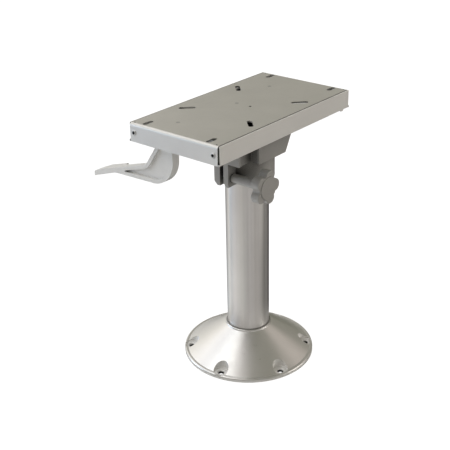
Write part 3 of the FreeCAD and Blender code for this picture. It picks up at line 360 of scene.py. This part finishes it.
# What stays as cast beside a turned cone: tint, rougher and less metallic by, and its patches
CAST_TINT = 1.03
CAST_ROUGHER = 0.22
CAST_DULLER = 0.65
CAST_LEAST = 0.7
# share of the colour left in the painted shade of the bolt holes
HOLE_SHADE = 0.03


def metal(name, colour, roughness, grain, rough_swing=0.05, line_depth=0.00001, metallic=1.0,
          anisotropy=0.0, turn=0.0, seam=None, crevice=METAL_CREVICE, cone=None, holes=None):
    """Bare metal: fine lines, faint clouds and marks, polished edges lighter from wear and a painted
    highlight, painted shade in hollows. Below a cone it stays as cast.
    """
    look = Look(name, colour, roughness, metallic)
    place = look.rings(*GRAIN[grain]) if grain == "rings" else look.stretched(GRAIN[grain])
    lines = look.noise(1.0, detail=2.0, place=place)
    cloud = look.noise(14.0, detail=4.0)
    marks = look.noise(90.0, detail=5.0, roughness=0.65)
    worn_and_lit = look.edges(METAL_EDGE_LIT)
    tone = look.clouds(cloud, *tints(colour, METAL_CLOUDS))
    # edges lighter from wear and a painted highlight
    tone = look.blend(worn_and_lit, tone, tinted(colour, METAL_EDGE_LIT_TINT))
    if seam:
        # painted shadow of the gap at the seam
        tone = look.blend(look.band(seam), tone, tinted(colour, SEAM_SHADE))
    # painted shade in slits, pockets and inner corners
    tone = look.with_painted_shade(tone, colour, crevice)
    rough = look.math("ADD", look.swing(lines, rough_swing), roughness)
    rough = look.math("ADD", rough, look.swing(marks, rough_swing))
    rough = look.math("SUBTRACT", rough, look.math("MULTIPLY", worn_and_lit, METAL_POLISH))
    if anisotropy:
        look.shader.inputs["Anisotropic"].default_value = anisotropy
        look.shader.inputs["Anisotropic Rotation"].default_value = turn
        tangent = look.node("Tangent", direction_type="RADIAL", axis="Z")
        look.feed(look.shader.inputs["Tangent"], tangent.outputs[0])
    if cone:
        cast = look.under_cone(cone)
        patches = look.math("MULTIPLY", cast, look.span(marks, CAST_LEAST, 1.0))
        tone = look.blend(patches, tone, tinted(colour, CAST_TINT))
        # painted shade deep in the bolt holes
        tone = look.blend(look.in_bolt_holes(holes), tone, tinted(colour, HOLE_SHADE))
        rough = look.math("ADD", rough, look.math("MULTIPLY", cast, CAST_ROUGHER))
        duller = look.math("MULTIPLY", cast, CAST_DULLER)
        look.feed(look.shader.inputs["Metallic"], look.math("SUBTRACT", metallic, duller))
    return look.finish(tone, rough, look.bump(lines, line_depth))


RIVET_COLOUR = (0.66, 0.66, 0.65)
RIVET_ROUGHNESS = 0.58
RIVET_SWING = 0.08
RIVET_CLOUDS = (0.9, 1.05)
RIVET_DEPTH = 0.00001
RIVET_HOLLOW_SHADE = (0.03, 0.029, 0.028)
RIVET_HOLLOW_RADIUS = (0.0022, 0.003)      # fully dark up to the first, not at all from the second on


def rivet(name, across, up, half_span, height):
    """Aluminium pop rivet with painted shade in its hollow middle."""
    look = Look(name, RIVET_COLOUR, RIVET_ROUGHNESS, 1.0)
    parts = look.node("SeparateXYZ", {0: look.place})
    aside = look.math("SUBTRACT", look.absolute(parts.outputs[across]), half_span)
    above = look.math("SUBTRACT", parts.outputs[up], height)
    offset = look.node("CombineXYZ", {0: aside, 1: above})
    reach = look.node("VectorMath", {0: offset.outputs[0]}, operation="LENGTH").outputs["Value"]
    fine = look.noise(1500.0)
    tone = look.clouds(fine, *tints(RIVET_COLOUR, RIVET_CLOUDS))
    # painted shade in the hollow middle of the rivet
    tone = look.blend(look.span(reach, 1.0, 0.0, *RIVET_HOLLOW_RADIUS), tone, RIVET_HOLLOW_SHADE)
    rough = look.math("ADD", look.swing(fine, RIVET_SWING), RIVET_ROUGHNESS)
    return look.finish(tone, rough, look.bump(fine, RIVET_DEPTH))


PAINT_CREVICE = (0.06, 0.045, 0.22, 0.92)
PAINT_CLOUDS = (0.93, 1.06)
PAINT_SWING = 0.06
PEEL_SWING = 0.03
PAINT_EDGE_LIT = 0.0008
PAINT_EDGE_LIT_TINT = 1.7
PAINT_EDGE_LIT_SHARE = 0.6
CASTING_DEPTH = 3.0       # how much deeper the casting's waves are than the orange peel
# Edges of the lever lighter from wear and a painted highlight: colour, width and strength
LEVER_EDGE_LIT = ((0.98, 0.98, 0.97), 0.0016, 1.0)


def paint(name, colour, roughness, peel=0.00003, edge_lit=None, crevice=PAINT_CREVICE):
    """Sprayed paint over a casting: orange peel, faint clouds, edges thinner and lighter from wear and a
    painted highlight, painted shade in hollows.
    """
    thin_and_lit = tinted(colour, PAINT_EDGE_LIT_TINT)
    edge_lit_colour, edge_lit_radius, edge_lit_share = edge_lit or (thin_and_lit, PAINT_EDGE_LIT, PAINT_EDGE_LIT_SHARE)
    look = Look(name, colour, roughness)
    peel_height = look.noise(700.0, detail=2.0, roughness=0.4)
    cast_height = look.noise(160.0)
    cloud = look.noise(18.0, detail=4.0)
    worn_and_lit = look.edges(edge_lit_radius)
    tone = look.clouds(cloud, *tints(colour, PAINT_CLOUDS))
    # edges lighter from wear and a painted highlight
    tone = look.blend(look.math("MULTIPLY", worn_and_lit, edge_lit_share), tone, edge_lit_colour)
    # painted shade in slits, pockets and inner corners
    tone = look.with_painted_shade(tone, colour, crevice)
    smears = look.noise(60.0, detail=5.0, roughness=0.65)
    rough = look.math("ADD", look.swing(smears, PAINT_SWING), roughness)
    rough = look.math("ADD", rough, look.swing(peel_height, PEEL_SWING))
    normal = look.bump(cast_height, peel * CASTING_DEPTH)
    return look.finish(tone, rough, look.bump(peel_height, peel, normal))


PLASTIC_CREVICE = (0.12, 0.014, *OPEN_SKY)
PLASTIC_IOR = 1.49
PLASTIC_CLOUDS = (0.94, 1.05)
PLASTIC_SWING = 0.05
PLASTIC_DEPTH = 0.00002
PLASTIC_EDGE_LIT = 0.0008
PLASTIC_EDGE_LIT_TINT = 1.5
PLASTIC_EDGE_LIT_SHARE = 0.5
PLASTIC_POLISH = 0.1


def plastic(name, colour, roughness):
    """Moulded plastic: fine spark-eroded grain, a slightly polished edge lighter from wear and a painted
    highlight, painted shade in hollows.
    """
    look = Look(name, colour, roughness)
    look.shader.inputs["IOR"].default_value = PLASTIC_IOR
    fine = look.noise(3200.0, detail=2.0)
    broad = look.noise(35.0, detail=4.0)
    worn_and_lit = look.edges(PLASTIC_EDGE_LIT)
    tone = look.clouds(broad, *tints(colour, PLASTIC_CLOUDS))
    # edges lighter from wear and a painted highlight
    lighter = look.math("MULTIPLY", worn_and_lit, PLASTIC_EDGE_LIT_SHARE)
    tone = look.blend(lighter, tone, tinted(colour, PLASTIC_EDGE_LIT_TINT))
    # painted shade in slits, pockets and inner corners
    tone = look.with_painted_shade(tone, colour, PLASTIC_CREVICE)
    rough = look.math("ADD", look.swing(fine, PLASTIC_SWING), roughness)
    rough = look.math("ADD", rough, look.swing(broad, PLASTIC_SWING))
    rough = look.math("SUBTRACT", rough, look.math("MULTIPLY", worn_and_lit, PLASTIC_POLISH))
    return look.finish(tone, rough, look.bump(fine, PLASTIC_DEPTH))


ZINC_CREVICE = (0.3, 0.02, *OPEN_SKY)
ZINC_CLOUDS = (0.9, 1.08)
ZINC_SWING = 0.07
ZINC_DEPTH = 0.000008
ZINC_EDGE_LIT = 0.0005
ZINC_EDGE_LIT_TINT = 1.2
FULL_RANGE = (0.0, 1.0)
SPANGLE_SHARE = 0.35
SPANGLE_TINT = 0.72
SPANGLE_SWING = 0.08


def zinc(name, colour, roughness, spangle=0.0, warm=None):
    """Plated or uncoated steel: cloudy bloom, crystal spangle on hot-dipped sheet, edges lighter from wear
    and a painted highlight, painted shade in hollows.
    """
    look = Look(name, colour, roughness, 1.0)
    cloud = look.noise(120.0, detail=5.0, roughness=0.6)
    fine = look.noise(2200.0, detail=2.0)
    worn_and_lit = look.edges(ZINC_EDGE_LIT)
    dim, bright = tints(colour, ZINC_CLOUDS)
    tone = look.clouds(cloud, dim, warm or bright)
    rough = look.math("ADD", look.swing(cloud, ZINC_SWING), roughness)
    if spangle:
        cells = look.node("TexVoronoi", {"Vector": look.place, "Scale": spangle}).outputs["Color"]
        shade = look.node("SeparateColor", {0: cells}).outputs[0]
        crystals = look.span(shade, 0.0, SPANGLE_SHARE, *FULL_RANGE)
        tone = look.blend(crystals, tone, tinted(colour, SPANGLE_TINT))
        rough = look.math("ADD", rough, look.swing(shade, SPANGLE_SWING, *FULL_RANGE))
    # edges lighter from wear and a painted highlight
    tone = look.blend(worn_and_lit, tone, tinted(colour, ZINC_EDGE_LIT_TINT))
    # painted shade in slits, pockets and inner corners
    tone = look.with_painted_shade(tone, colour, ZINC_CREVICE)
    return look.finish(tone, rough, look.bump(fine, ZINC_DEPTH))


RUBBER_CREVICE = (0.5, 0.004, *OPEN_SKY)
RUBBER_DUST_TINT = 1.7
RUBBER_SWING = 0.06
RUBBER_DEPTH = 0.00003


def rubber(name, colour, roughness):
    """Rubber: a fine matt skin with some dust on it, and painted shade in hollows."""
    look = Look(name, colour, roughness)
    fine = look.noise(1800.0)
    dust = look.noise(45.0, detail=5.0, roughness=0.6)
    tone = look.clouds(dust, colour, tinted(colour, RUBBER_DUST_TINT))
    # painted shade in slits, pockets and inner corners
    tone = look.with_painted_shade(tone, colour, RUBBER_CREVICE)
    rough = look.math("ADD", look.swing(fine, RUBBER_SWING), roughness)
    return look.finish(tone, rough, look.bump(fine, RUBBER_DEPTH))


def dress(names, material):
    for name in names.split():
        mesh = nodes[name].data
        mesh.materials.clear()
        mesh.materials.append(material)


def dress_bare_metal():
    dress("base_flange", metal(
        "turned_aluminium", (0.84, 0.835, 0.822), roughness=0.35, grain="rings", anisotropy=0.35,
        turn=0.25, crevice=(0.12, 0.007, 0.12, 0.52), cone=BASE_CONE, holes=BASE_HOLES))
    dress("column_tube", metal(
        "drawn_aluminium", (0.74, 0.73, 0.71), roughness=0.31, grain="z", rough_swing=0.008,
        line_depth=0.0000003, anisotropy=0.4, turn=0.25))
    dress("top_pan", metal(
        "brushed_sheet", (0.75, 0.74, 0.71), roughness=0.42, grain="x", metallic=0.8,
        seam=SHEET_SEAM, crevice=(0.07, 0.012, 0.6, 0.86)))
    dress("rail_left rail_right", metal(
        "extruded_aluminium", (0.86, 0.85, 0.83), roughness=0.5, grain="x", metallic=0.12,
        seam=SHEET_SEAM))
    dress("end_rivets", rivet("end_rivet_aluminium", across=1, up=2, half_span=0.079, height=0.4403))
    dress("pan_rivets strip_rivets", metal(
        "rivet_aluminium", (0.56, 0.56, 0.55), roughness=0.48, grain="none"))
    dress("column_plug", metal(
        "cast_aluminium", (0.55, 0.55, 0.54), roughness=0.5, grain="none", rough_swing=0.08,
        line_depth=0.00003))


def dress_paint_and_plastic():
    dress("swivel_head", paint("cast_paint", (0.42, 0.41, 0.395), roughness=0.42))
    dress("lock_lever", paint(
        "lever_paint", (0.86, 0.855, 0.84), roughness=0.42, peel=0.00004, edge_lit=LEVER_EDGE_LIT,
        crevice=(0.35, 0.006, 0.12, 0.6)))
    dress("clamp_knob", plastic("knob_plastic", (0.445, 0.436, 0.422), roughness=0.48))
    dress("swivel_sleeve", plastic("acetal_dark", (0.05, 0.05, 0.052), roughness=0.4))
    dress("glide_left glide_right end_blocks",
          plastic("nylon_black", (0.028, 0.028, 0.029), roughness=0.46))
    dress("thrust_washer shaft_bushings",
          plastic("acetal_white", (0.78, 0.77, 0.73), roughness=0.4))
    dress("neck_seal", rubber("seal_rubber", (0.34, 0.337, 0.33), roughness=0.5))


def dress_steel():
    dress("slide_base", zinc("galvanised_sheet", (0.52, 0.53, 0.54), roughness=0.38, spangle=140.0))
    dress("lock_strip lock_cam", zinc("bare_steel", (0.45, 0.44, 0.43), roughness=0.34))
    dress("front_bracket centre_bracket rear_bracket retaining_washer",
          zinc("zinc_bracket", (0.62, 0.62, 0.6), roughness=0.3, warm=(0.66, 0.63, 0.52)))
    dress("clamp_nut clamp_stud clamp_washer base_screws retaining_bolt lock_shaft",
          zinc("zinc_bright", (0.66, 0.67, 0.68), roughness=0.24))
    dress("tube_set_screws shaft_clip lever_pin cam_pin",
          zinc("black_oxide", (0.09, 0.088, 0.085), roughness=0.36))
    dress("return_spring", zinc("spring_steel", (0.4, 0.39, 0.38), roughness=0.3))


def make_scene():
    add_camera()
    add_world()
    add_floor()
    dress_bare_metal()
    dress_paint_and_plastic()
    dress_steel()
    bpy.context.scene.view_settings.view_transform = "Standard"


make_scene()
